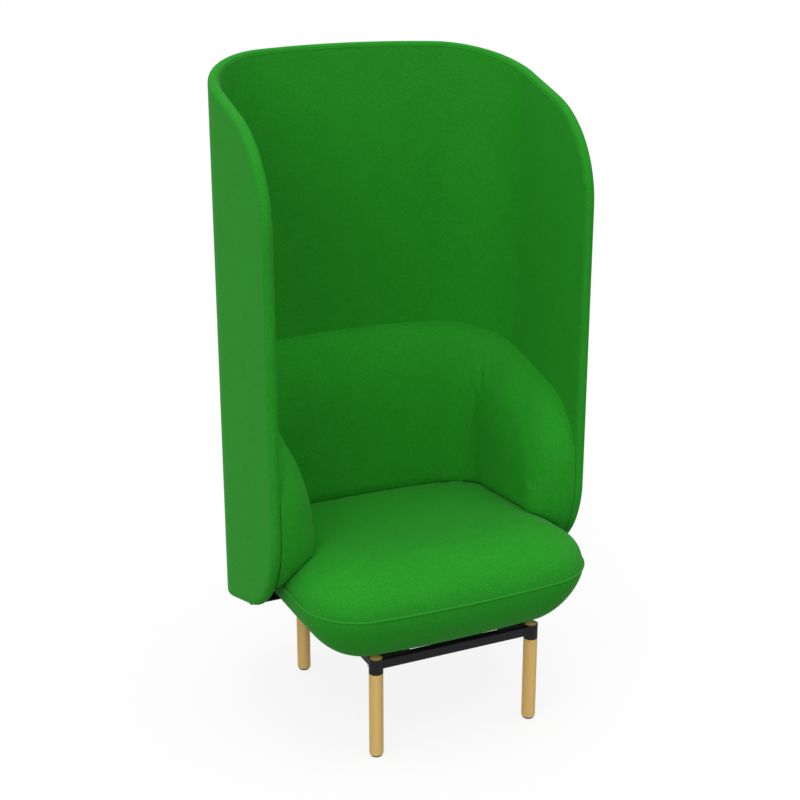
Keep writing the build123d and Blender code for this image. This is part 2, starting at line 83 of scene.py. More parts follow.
# ---- colours and nodes ------------------------------------------------------------------
def linear(hex_colour: str) -> tuple[float, float, float, float]:
    """Turn an sRGB hex colour into the linear colour that a shader takes.

    Args:
        hex_colour: Six hex digits, with or without a leading hash.

    Returns:
        Linear red, green and blue, and an alpha of 1.
    """
    digits = hex_colour.lstrip("#")
    channels = []
    for start in (0, 2, 4):
        value = int(digits[start : start + 2], 16) / 255
        channels.append(value / 12.92 if value <= 0.04045 else ((value + 0.055) / 1.055) ** 2.4)
    return (channels[0], channels[1], channels[2], 1.0)


def add_node(
    material: bpy.types.Material | bpy.types.World,
    kind: str,
    settings: dict[str, object] | None = None,
    inputs: dict[str | int, object] | None = None,
) -> bpy.types.Node:
    """Add one node to a material, with its settings, its values and its links.

    Args:
        material: The material or world that gets the node.
        kind: The node's type name.
        settings: Values of the node's own properties.
        inputs: For each input, a plain value or the output socket that feeds it.

    Returns:
        The new node.
    """
    tree = material.node_tree
    node = tree.nodes.new(kind)
    for name, value in (settings or {}).items():
        setattr(node, name, value)
    for key, value in (inputs or {}).items():
        if isinstance(value, bpy.types.NodeSocket):
            tree.links.new(value, node.inputs[key])
        else:
            node.inputs[key].default_value = value
    return node


def empty_material(name: str) -> bpy.types.Material:
    """Make a material with an empty node tree."""
    material = bpy.data.materials.new(name)
    material.use_nodes = True
    material.node_tree.nodes.clear()
    return material


@dataclass(frozen=True)
class Relief:
    """The fine relief of a surface, as it shows in the light."""

    height: bpy.types.NodeSocket
    strength: float
    depth: float


def finish_surface(
    material: bpy.types.Material,
    share: bpy.types.NodeSocket,
    tones: tuple[str, str],
    surface: dict[str | int, object],
    relief: Relief | None = None,
) -> bpy.types.Material:
    """Colour a surface between two tones, give it its relief, and add the output.

    Args:
        material: The material to finish.
        share: How much of the second tone shows, from 0 to 1.
        tones: The two tones, as hex colours.
        surface: Values and links of the surface shader.
        relief: The fine relief, if there is one.

    Returns:
        The same material.
    """
    colour = add_node(
        material,
        "ShaderNodeMix",
        {"data_type": "RGBA"},
        {0: share, 6: linear(tones[0]), 7: linear(tones[1])},
    )
    inputs = {"Base Color": colour.outputs[2], **surface}
    if relief:
        bump = add_node(
            material,
            "ShaderNodeBump",
            inputs={
                "Height": relief.height,
                "Strength": relief.strength,
                "Distance": relief.depth,
            },
        )
        inputs["Normal"] = bump.outputs["Normal"]
    shader = add_node(material, "ShaderNodeBsdfPrincipled", inputs=inputs)
    add_node(material, "ShaderNodeOutputMaterial", inputs={"Surface": shader.outputs["BSDF"]})
    return material


def per_metre(size_mm: float) -> float:
    """The texture scale at which one grain or cell is size_mm across."""
    return 1.0 / (size_mm * MM)


@dataclass(frozen=True)
class MeltonWool:
    """Woven wool cloth, milled until the weave closes and raised into a short felted nap.

    The nap hides the threads, so the eye gets a matt, faintly mottled colour, a fine tooth in
    the light, and a pale bloom of fibre ends where the cloth turns away.
    """

    name: str = "melton_wool_milled_green"
    body: str = "#2C9F27"
    fleck: str = "#188C16"
    bloom: str = "#B9CDB4"
    bloom_weight: float = 0.12
    fibre_mm: float = 3.4  # a real fibre clump is near 0.4 mm, drawn as coarse as it shows
    tooth_mm: float = 1.1  # the real nap is near 0.2 mm, drawn coarser for the same reason
    cloud_mm: float = 60.0  # slow drift of the dye over a hand's breadth
    roughness: float = 0.92

    def build(self) -> bpy.types.Material:
        """Build the cloth's material."""
        cloth = empty_material(self.name)
        place = add_node(cloth, "ShaderNodeTexCoord").outputs["Object"]
        grains = ((self.fibre_mm, 3.0), (self.cloud_mm, 2.0), (self.tooth_mm, 2.0))
        fibres, clouds, tooth = (
            add_node(
                cloth,
                "ShaderNodeTexNoise",
                inputs={"Vector": place, "Scale": per_metre(size_mm), "Detail": detail},
            ).outputs["Fac"]
            for size_mm, detail in grains
        )
        mottle = add_node(
            cloth,
            "ShaderNodeMapRange",
            inputs={"Value": fibres, "From Min": 0.35, "From Max": 0.68, "To Max": 0.75},
        )
        drift = add_node(
            cloth,
            "ShaderNodeMath",
            {"operation": "MULTIPLY_ADD"},
            {0: clouds, 1: 0.35, 2: mottle.outputs["Result"]},
        )
        return finish_surface(
            cloth,
            drift.outputs["Value"],
            (self.body, self.fleck),
            {
                "Roughness": self.roughness,
                "IOR": 1.5,
                "Specular IOR Level": 0.25,
                "Sheen Weight": self.bloom_weight,
                "Sheen Roughness": 0.3,
                "Sheen Tint": linear(self.bloom),
            },
            Relief(tooth, strength=0.35, depth=0.25 * MM),
        )


@dataclass(frozen=True)
class TurnedAsh:
    """Ash, turned round along the grain and sealed with a clear matt lacquer.

    The eye gets pale straw wood with darker lines of open pores running up the leg, and a soft
    low shine from the lacquer.
    """

    name: str = "turned_ash_matt_lacquer"
    early_wood: str = "#EAC475"
    late_wood: str = "#CDA253"
    ring_mm: float = 5.0  # one radian of a ring, so rings are drawn coarse, some 31 mm apart
    pore_mm: float = 0.9  # real pores are 0.3 mm, drawn coarser so that they show
    stretch: float = 0.035  # a pore line is some thirty times longer than wide
    roughness: float = 0.42

    def build(self) -> bpy.types.Material:
        """Build the wood's material."""
        wood = empty_material(self.name)
        place = add_node(wood, "ShaderNodeTexCoord").outputs["Object"]
        along = add_node(
            wood,
            "ShaderNodeMapping",
            inputs={"Vector": place, "Scale": (1.0, 1.0, self.stretch)},
        ).outputs["Vector"]
        rings = add_node(
            wood,
            "ShaderNodeTexWave",
            {"wave_type": "BANDS", "bands_direction": "X"},
            {
                "Vector": along,
                "Scale": per_metre(self.ring_mm) / WAVE_TURN,
                "Distortion": 5.0,
                "Detail": 2.0,
                "Detail Scale": 1.2,
            },
        )
        pores = add_node(
            wood,
            "ShaderNodeTexNoise",
            inputs={"Vector": along, "Scale": per_metre(self.pore_mm), "Detail": 3.0},
        )
        grain = add_node(
            wood,
            "ShaderNodeMath",
            {"operation": "MULTIPLY"},
            {0: rings.outputs["Fac"], 1: pores.outputs["Fac"]},
        )
        return finish_surface(
            wood,
            grain.outputs["Value"],
            (self.early_wood, self.late_wood),
            {"Roughness": self.roughness, "IOR": 1.5},
            Relief(pores.outputs["Fac"], strength=0.15, depth=0.15 * MM),
        )


@dataclass(frozen=True)
class PowderCoat:
    """Steel, powder coated in satin black and baked.

    The eye gets a near-black skin with a faint orange-peel ripple that breaks up its shine.
    """

    name: str = "powder_coated_steel_black"
    colour: str = "#0E0E12"
    worn: str = "#15151A"
    peel_mm: float = 1.6  # real orange peel is near 0.8 mm, drawn coarser so that it shows
    roughness: float = 0.6

    def build(self) -> bpy.types.Material:
        """Build the coating's material."""
        coat = empty_material(self.name)
        place = add_node(coat, "ShaderNodeTexCoord").outputs["Object"]
        peel = add_node(
            coat,
            "ShaderNodeTexNoise",
            inputs={"Vector": place, "Scale": per_metre(self.peel_mm), "Detail": 1.0},
        )
        return finish_surface(
            coat,
            peel.outputs["Fac"],
            (self.colour, self.worn),
            {"Roughness": self.roughness, "IOR": 1.5, "Specular IOR Level": 0.25},
            Relief(peel.outputs["Fac"], strength=0.2, depth=0.1 * MM),
        )


@dataclass(frozen=True)
class BirchPlywood:
    """Birch plywood, pressed in a mould and sawn, left raw under the upholstery.

    The eye gets pale veneer with the thin darker stripes of its glued layers on every edge.
    """

    name: str = "birch_plywood_raw"
    veneer: str = "#D2B48A"
    glue_line: str = "#8F6B43"
    layer_mm: float = 3.0  # one radian of a layer, so layers are drawn coarse, some 19 mm apart
    roughness: float = 0.7

    def build(self) -> bpy.types.Material:
        """Build the plywood's material."""
        board = empty_material(self.name)
        place = add_node(board, "ShaderNodeTexCoord").outputs["Object"]
        layers = add_node(
            board,
            "ShaderNodeTexWave",
            {"wave_type": "BANDS", "bands_direction": "Z"},
            {"Vector": place, "Scale": per_metre(self.layer_mm) / WAVE_TURN, "Distortion": 0.6},
        )
        figure = add_node(
            board,
            "ShaderNodeTexNoise",
            inputs={"Vector": place, "Scale": per_metre(self.layer_mm), "Detail": 4.0},
        )
        stripes = add_node(
            board,
            "ShaderNodeMath",
            {"operation": "MULTIPLY"},
            {0: layers.outputs["Fac"], 1: figure.outputs["Fac"]},
        )
        return finish_surface(
            board,
            stripes.outputs["Value"],
            (self.veneer, self.glue_line),
            {"Roughness": self.roughness, "IOR": 1.5},
        )


@dataclass(frozen=True)
class ZincPlate:
    """Cold-headed steel, zinc plated and passivated.

    The eye gets a grey metal with a slightly blue, cloudy shine.
    """

    name: str = "zinc_plated_steel"
    bright: str = "#C4C8CE"
    dull: str = "#9A9EA6"
    cloud_mm: float = 3.0

    def build(self) -> bpy.types.Material:
        """Build the plating's material."""
        plate = empty_material(self.name)
        place = add_node(plate, "ShaderNodeTexCoord").outputs["Object"]
        clouds = add_node(
            plate,
            "ShaderNodeTexNoise",
            inputs={"Vector": place, "Scale": per_metre(self.cloud_mm), "Detail": 2.0},
        )
        polish = add_node(
            plate,
            "ShaderNodeMapRange",
            inputs={"Value": clouds.outputs["Fac"], "To Min": 0.28, "To Max": 0.45},
        )
        return finish_surface(
            plate,
            clouds.outputs["Fac"],
            (self.bright, self.dull),
            {"Metallic": 1.0, "Roughness": polish.outputs["Result"]},
        )


@dataclass(frozen=True)
class MouldedNylon:
    """Nylon, injection moulded in black with a fine spark-eroded texture.

    The eye gets a dark grey plastic, dull where it has rubbed on the floor.
    """

    name: str = "moulded_nylon_black"
    colour: str = "#1E1E20"
    scuffed: str = "#38383A"
    grain_mm: float = 1.0

    def build(self) -> bpy.types.Material:
        """Build the plastic's material."""
        nylon = empty_material(self.name)
        place = add_node(nylon, "ShaderNodeTexCoord").outputs["Object"]
        grain = add_node(
            nylon,
            "ShaderNodeTexNoise",
            inputs={"Vector": place, "Scale": per_metre(self.grain_mm), "Detail": 2.0},
        )
        return finish_surface(
            nylon,
            grain.outputs["Fac"],
            (self.colour, self.scuffed),
            {"Roughness": 0.6, "IOR": 1.53},
            Relief(grain.outputs["Fac"], strength=0.2, depth=0.1 * MM),
        )


@dataclass(frozen=True)
class SpunbondCloth:
    """Polypropylene dust cover cloth, spun and bonded with a grid of heat points.

    The eye gets a thin black cloth, stippled by the small pressed points.
    """

    name: str = "spunbond_polypropylene_black"
    colour: str = "#1B1B1D"
    pressed: str = "#0D0D0E"
    point_mm: float = 3.0  # real bond points are 1 mm apart, drawn coarser so that they show

    def build(self) -> bpy.types.Material:
        """Build the cover cloth's material."""
        cover = empty_material(self.name)
        place = add_node(cover, "ShaderNodeTexCoord").outputs["Object"]
        points = add_node(
            cover,
            "ShaderNodeTexVoronoi",
            inputs={"Vector": place, "Scale": per_metre(self.point_mm), "Randomness": 0.15},
        )
        stipple = add_node(
            cover,
            "ShaderNodeMapRange",
            inputs={"Value": points.outputs["Distance"], "From Min": 0.2, "From Max": 0.4},
        )
        return finish_surface(
            cover,
            stipple.outputs["Result"],
            (self.pressed, self.colour),
            {"Roughness": 0.75, "IOR": 1.49},
            Relief(stipple.outputs["Result"], strength=0.3, depth=0.2 * MM),
        )


class Slot(Enum):
    """The record's material slots, by the finish that each one gets."""

    GREEN_FABRIC = "green_fabric"
    WELT_FABRIC = "welt_fabric"
    LEG_WOOD = "leg_wood"
    BLACK_STEEL = "black_steel"
    PLYWOOD = "plywood"
    ZINC_STEEL = "zinc_steel"
    GLIDE_PLASTIC = "glide_plastic"
    COVER_CLOTH = "cover_cloth"


def build_finishes() -> dict[Slot, bpy.types.Material]:
    """Build every finish once, keyed by the slot that it dresses."""
    return {
        Slot.GREEN_FABRIC: MeltonWool().build(),
        Slot.WELT_FABRIC: MeltonWool(
            name="melton_wool_over_cord", body="#329A2D", fleck="#279323", fibre_mm=1.6
        ).build(),
        Slot.LEG_WOOD: TurnedAsh().build(),
        Slot.BLACK_STEEL: PowderCoat().build(),
        Slot.PLYWOOD: BirchPlywood().build(),
        Slot.ZINC_STEEL: ZincPlate().build(),
        Slot.GLIDE_PLASTIC: MouldedNylon().build(),
        Slot.COVER_CLOTH: SpunbondCloth().build(),
    }


# ---- outlines ---------------------------------------------------------------------------
@dataclass(frozen=True)
class Station:
    """A place on an outline seen from above, with the outward direction there."""

    x: float
    y: float
    out_x: float
    out_y: float

    def inward(self, inset: float, z: float) -> Vector:
        """The point that lies inset inside this place, at height z."""
        return Vector((self.x - inset * self.out_x, self.y - inset * self.out_y, z))


def arc_stations(
    centre: tuple[float, float], radius: float, start: float, end: float, steps: int
) -> list[Station]:
    """Walk along an arc seen from above.

    Args:
        centre: Centre of the arc.
        radius: Radius of the arc.
        start: Angle of the first place, in degrees from +X.
        end: Angle of the last place, in degrees from +X.
        steps: How many steps the walk takes.

    Returns:
        The places in order, both ends included.
    """
    places = []
    for step in range(steps + 1):
        angle = radians(start + (end - start) * step / steps)
        out_x, out_y = cos(angle), sin(angle)
        places.append(
            Station(centre[0] + radius * out_x, centre[1] + radius * out_y, out_x, out_y)
        )
    return places


def ease(fraction: float, power: float) -> float:
    """Rise from 0 to 1 like the side of a cushion: steep at the edge and flat at the crown."""
    inner = 1.0 - min(max(fraction, 0.0), 1.0)
    return (1.0 - inner**power) ** (1.0 / power)


@dataclass(frozen=True)
class BowedPlan:
    """A U-shaped outline seen from above: straight sides, round corners and a bowed back."""

    half: float
    back_y: float
    corner: float
    bow: float

    @property
    def bow_centre_y(self) -> float:
        """Centre of the bow of the back."""
        return self.back_y - self.bow

    @property
    def corner_x(self) -> float:
        """How far the centres of the corners are from the middle."""
        return self.half - self.corner

    @property
    def corner_y(self) -> float:
        """Where the straight sides end and the corners begin."""
        return self.bow_centre_y + sqrt((self.bow - self.corner) ** 2 - self.corner_x**2)

    def depth(self, x: float, y: float) -> float:
        """How far a point lies inside the outline, negative outside it."""
        side_x = abs(x)
        if y <= self.corner_y:
            return self.half - side_x
        rise = y - self.bow_centre_y
        if side_x * (self.corner_y - self.bow_centre_y) > self.corner_x * rise:
            return self.corner - hypot(side_x - self.corner_x, y - self.corner_y)
        return self.bow - hypot(side_x, rise)

    def stations(
        self, side_ys: Sequence[float], corner_steps: int, back_steps: int
    ) -> list[Station]:
        """Walk from the front of the left side round the back to the front of the right side.

        Args:
            side_ys: Places along a straight side, from the front to the corner.
            corner_steps: Steps round one corner.
            back_steps: Steps along the back.

        Returns:
            The places in order, one at each spot.
        """
        lean = degrees(asin(self.corner_x / (self.bow - self.corner)))
        left = [Station(-self.half, y, -1.0, 0.0) for y in side_ys]
        left_corner = arc_stations(
            (-self.corner_x, self.corner_y), self.corner, 180.0, 90.0 + lean, corner_steps
        )
        centre = (0.0, self.bow_centre_y)
        back = arc_stations(centre, self.bow, 90.0 + lean, 90.0 - lean, back_steps)
        right_corner = [Station(-s.x, s.y, -s.out_x, s.out_y) for s in reversed(left_corner)]
        right = [Station(-s.x, s.y, 1.0, 0.0) for s in reversed(left)]
        return left[:-1] + left_corner + back[1:-1] + right_corner + right[1:]


@dataclass(frozen=True)
class SlopedEdge:
    """An edge that slopes from the back to a round front corner, seen from the side."""

    level: float
    slope: float
    back_y: float
    front_y: float
    corner: float
    upper: bool

    @property
    def side(self) -> int:
        """1 for an upper edge, -1 for a lower one."""
        return 1 if self.upper else -1

    @property
    def steepness(self) -> float:
        """Length of the edge for one unit of depth."""
        return sqrt(1.0 + self.slope**2)

    @property
    def centre(self) -> tuple[float, float]:
        """Centre of the front corner, as y and z."""
        y = self.front_y + self.corner
        return y, self.line(y) - self.side * self.corner * self.steepness

    def line(self, y: float) -> float:
        """Height of the straight part, carried on past the corner."""
        return self.level - self.side * self.slope * (self.back_y - y)

    def height(self, y: float, margin: float = 0.0) -> float:
        """Height of the edge at y, drawn in by margin."""
        centre_y, centre_z = self.centre
        radius = self.corner - margin
        if y < centre_y - radius * self.slope / self.steepness:
            return centre_z + self.side * sqrt(max(radius**2 - (y - centre_y) ** 2, 0.0))
        return self.line(y) - self.side * margin * self.steepness

    def front(self, z: float) -> float:
        """Where the panel begins at height z: at its front, in its corner or on its edge."""
        centre_y, centre_z = self.centre
        beyond = (z - centre_z) * self.side
        if beyond <= 0.0:
            return self.front_y
        if beyond < self.corner / self.steepness:
            return centre_y - sqrt(self.corner**2 - beyond**2)
        return self.back_y - (self.level - z) * self.side / self.slope

    def share(
        self, y: float, z: float, across: float, edge_roll: float, front_roll: float
    ) -> float:
        """How far a point of the panel lies in from this edge and the front, in rolls.

        Args:
            y: The point's y.
            z: The point's height.
            across: How much the panel faces sideways there, 1 on a side and 0 on the back.
            edge_roll: Width of the roll along this edge.
            front_roll: Width of the roll along the front.

        Returns:
            0 on the outline, and 1 or more behind the rolls, which blend where they meet.
        """
        steepness = sqrt(1.0 + (self.slope * across) ** 2)
        from_edge = (self.height(y) - z) * self.side / (steepness * edge_roll)
        from_front = (y - self.front(z)) / front_roll
        if min(from_edge, from_front) <= 0.0:
            return 0.0
        return (from_edge**-BLEND + from_front**-BLEND) ** (-1 / BLEND)


def spread(start: float, end: float, steps: int) -> list[float]:
    """Even places from start to end, both included."""
    return [start + (end - start) * step / steps for step in range(steps + 1)]


def front_spread(front_y: float, corner: float, end_y: float, steps: int) -> list[float]:
    """Places along a side that crowd together where its outline turns round the front.

    Args:
        front_y: Where the side begins.
        corner: Radius of the front corner.
        end_y: Where the side ends.
        steps: Steps within the corner.

    Returns:
        The places from the front to end_y.
    """
    crowded = [front_y + corner * (1.0 - cos(turn)) for turn in spread(0.0, pi / 2, steps)]
    kept = [y for y in crowded if y < end_y - PITCH / 2]
    rest = max(1, round((end_y - kept[-1]) / PITCH))
    return kept[:-1] + spread(kept[-1], end_y, rest)


# ---- meshes -----------------------------------------------------------------------------
@dataclass
class Skin:
    """A surface gathered from patches of quads, welded when it becomes a piece."""

    name: str
    points: list[Vector] = field(default_factory=list)
    faces: list[tuple[int, ...]] = field(default_factory=list)

    def patch(self, rows: Sequence[Sequence[Vector]], closed: bool = False) -> None:
        """Add a patch of quads.

        Args:
            rows: Rows of points, all of one length.
            closed: Whether each row closes on itself.
        """
        width = len(rows[0])
        base = len(self.points)
        for row in rows:
            self.points.extend(row)
        for r in range(len(rows) - 1):
            for c in range(width if closed else width - 1):
                here, beside = base + r * width + c, base + r * width + (c + 1) % width
                self.faces.append((here, beside, beside + width, here + width))

    def build(self, finish: bpy.types.Material) -> bpy.types.Object:
        """Weld the patches into one smooth object.

        Args:
            finish: The material of the whole surface.

        Returns:
            The new object, linked to the scene.
        """
        mesh = bpy.data.meshes.new(self.name)
        mesh.from_pydata([tuple(p) for p in self.points], [], self.faces)
        work = bmesh.new()
        work.from_mesh(mesh)
        bmesh.ops.remove_doubles(work, verts=work.verts, dist=WELD)
        bmesh.ops.dissolve_degenerate(work, edges=work.edges, dist=WELD / 2)
        bmesh.ops.recalc_face_normals(work, faces=work.faces)
        for face in work.faces:
            face.smooth = True
        work.to_mesh(mesh)
        work.free()
        mesh.materials.append(finish)
        piece = bpy.data.objects.new(self.name, mesh)
        bpy.context.scene.collection.objects.link(piece)
        return piece


def tube_rows(path: Sequence[Vector], radius: float, sides: int) -> list[list[Vector]]:
    """Points round a closed path, for a tube.

    Args:
        path: The middle line of the tube, closed.
        radius: Radius of the tube.
        sides: Sides of its section.

    Returns:
        One closed row of the section for each point of the path, and the first row again.
    """
    rows = []
    count = len(path)
    for i in range(count):
        along = (path[(i + 1) % count] - path[i - 1]).normalized()
        flat = along.cross(Vector((0, 0, 1)))
        if flat.length < UPRIGHT:
            flat = along.cross(Vector((0, 1, 0)))
        flat.normalize()
        up = flat.cross(along)
        rows.append(
            [
                path[i] + radius * (cos(2 * pi * s / sides) * flat + sin(2 * pi * s / sides) * up)
                for s in range(sides)
            ]
        )
    return rows + [rows[0]]


@dataclass(frozen=True)
class Filling:
    """How a cushion's foam swells under its cover, worked out as cloth under pressure."""

    pressure: float = 4.0
    frames: int = 20
    cap: float = 3 * MM
    quality: int = 5
    mass: float = 0.3
    stretch_stiffness: float = 12.0
    bending_stiffness: float = 0.6

    def swell(self, piece: bpy.types.Object, is_held: Callable[[Vector], bool]) -> None:
        """Swell a cushion, hold its sewn edges, and cap how far the cover moves.

        Args:
            piece: The cushion, as a closed mesh.
            is_held: Tells whether the cover is held fast at a point.
        """
        mesh = piece.data
        rest = [v.co.copy() for v in mesh.vertices]
        held = piece.vertex_groups.new(name="held")
        held.add([i for i, co in enumerate(rest) if is_held(co)], 1.0, "REPLACE")
        modifier = piece.modifiers.new("cover", "CLOTH")
        cloth = modifier.settings
        cloth.quality = self.quality
        cloth.mass = self.mass
        cloth.tension_stiffness = self.stretch_stiffness
        cloth.compression_stiffness = self.stretch_stiffness
        cloth.bending_stiffness = self.bending_stiffness
        cloth.use_pressure = True
        cloth.uniform_pressure_force = self.pressure
        cloth.vertex_group_mass = held.name
        cloth.effector_weights.gravity = 0.0
        scene = bpy.context.scene
        scene.frame_start, scene.frame_end = 1, self.frames
        for frame in range(1, self.frames + 1):
            scene.frame_set(frame)
        graph = bpy.context.evaluated_depsgraph_get()
        moved = piece.evaluated_get(graph).data
        placed = [v.co.copy() for v in moved.vertices]
        piece.modifiers.remove(modifier)
        scene.frame_set(1)
        for vertex, start, end in zip(mesh.vertices, rest, placed):
            step = end - start
            if step.length > self.cap:
                step = step * (self.cap / step.length)
            vertex.co = start + step
        mesh.update()


def place_piece(piece: bpy.types.Object, stands_for: Sequence[str]) -> None:
    """Fix a finished piece to the chair and say what it stands for.

    Args:
        piece: The piece, already in its place.
        stands_for: The CAD nodes that it replaces.
    """
    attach(piece, BODY)
    if stands_for:
        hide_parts(*stands_for)
    LOG.info("%s: %d faces, stands for %s", piece.name, len(piece.data.polygons), stands_for)


# ---- the acoustic shell -----------------------------------------------------------------
@dataclass
class AcousticShell:
    """The tall upholstered shell: one skin round a moulded board, with a full round rim."""

    finishes: dict[Slot, bpy.types.Material]
    corner_radius: float = 194 * MM
    bow_radius: float = 1700 * MM
    thickness: float = 24 * MM
    top_level: float = 1485.5 * MM
    top_slope: float = 0.323
    bottom_level: float = 193 * MM
    bottom_slope: float = 0.287
    wing_radius: float = 235 * MM
    seam_radius: float = 0.9 * MM
    seam_turns: tuple[float, float] = (-56.0, -80.0)  # degrees round the rim, -90 inside
    rows: int = 96

    def __post_init__(self) -> None:
        """Read the shell's width and depth from the frame and set out its outlines."""
        low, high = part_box("shell_outer_pad")
        self.front_y = low.y
        self.plan = BowedPlan(high.x, high.y, self.corner_radius, self.bow_radius)
        self.top = SlopedEdge(
            self.top_level, self.top_slope, high.y, low.y, self.wing_radius, upper=True
        )
        self.bottom = SlopedEdge(
            self.bottom_level, self.bottom_slope, high.y, low.y, self.wing_radius, upper=False
        )

    @property
    def inner_plan(self) -> BowedPlan:
        """The inner face of the shell, seen from above."""
        t = self.thickness
        plan = self.plan
        return BowedPlan(plan.half - t, plan.back_y - t, plan.corner - t, plan.bow - t)

    def middle_grid(self) -> tuple[list[Station], list[list[Vector]]]:
        """The middle surface of the wall, short of the rim by half its thickness.

        Returns:
            The stations of the columns, and the rows of points from the bottom to the top.
        """
        half = self.thickness / 2
        ys = front_spread(
            self.front_y + half, self.wing_radius - half, self.plan.corner_y, steps=20
        )
        columns = self.plan.stations(ys, corner_steps=24, back_steps=32)
        rows = []
        for share in spread(0.0, 1.0, self.rows):
            row = []
            for column in columns:
                y = column.y - half * column.out_y
                low, high = self.bottom.height(y, half), self.top.height(y, half)
                row.append(column.inward(half, low + (high - low) * share))
            rows.append(row)
        return columns, rows

    def rim_loop(
        self, columns: Sequence[Station], rows: Sequence[Sequence[Vector]]
    ) -> list[tuple[Vector, Vector, Vector]]:
        """Walk round the edge of the wall.

        Args:
            columns: The stations of the columns.
            rows: The middle surface.

        Returns:
            For each place on the edge its point, the way off the edge, and the way out of
            the wall.
        """
        last = len(columns) - 1
        walk = [(rows[0][c], columns[c]) for c in range(last)]
        walk += [(row[last], columns[last]) for row in rows[:-1]]
        walk += [(rows[-1][c], columns[c]) for c in range(last, 0, -1)]
        walk += [(row[0], columns[0]) for row in reversed(rows[1:])]
        loop = []
        for i, (point, column) in enumerate(walk):
            along = (walk[(i + 1) % len(walk)][0] - walk[i - 1][0]).normalized()
            out = Vector((column.out_x, column.out_y, 0))
            off = out.cross(along).normalized()
            loop.append((point, off, out))
        return loop

    def rim_line(
        self, loop: Sequence[tuple[Vector, Vector, Vector]], turn: float
    ) -> list[Vector]:
        """Follow the rim at one place of its round section.

        Args:
            loop: The edge of the wall, from rim_loop.
            turn: Degrees round the section, -90 on the inner face and 90 on the outer one.

        Returns:
            The points of the closed line.
        """
        half, angle = self.thickness / 2, radians(turn)
        return [p + half * (cos(angle) * off + sin(angle) * out) for p, off, out in loop]

    def build(self) -> None:
        """Build the skin and the pair of seams inside the rim."""
        columns, rows = self.middle_grid()
        half = self.thickness / 2
        skin = Skin("shell_skin")
        for way in (1, -1):
            skin.patch(
                [
                    [p + way * half * Vector((c.out_x, c.out_y, 0)) for p, c in zip(row, columns)]
                    for row in rows
                ]
            )
        loop = self.rim_loop(columns, rows)
        turns = spread(-90.0, 90.0, steps=12)
        skin.patch([self.rim_line(loop, turn) for turn in turns], closed=True)
        shell = skin.build(self.finishes[Slot.GREEN_FABRIC])
        place_piece(shell, ["shell_outer_pad", "shell_inner_pad"])
        for number, turn in enumerate(self.seam_turns, start=1):
            path = self.rim_line(loop, turn)
            seam = Skin(f"shell_rim_seam_{number}")
            seam.patch(tube_rows(path, self.seam_radius, sides=6), closed=True)
            piece = seam.build(self.finishes[Slot.WELT_FABRIC])
            place_piece(piece, [])


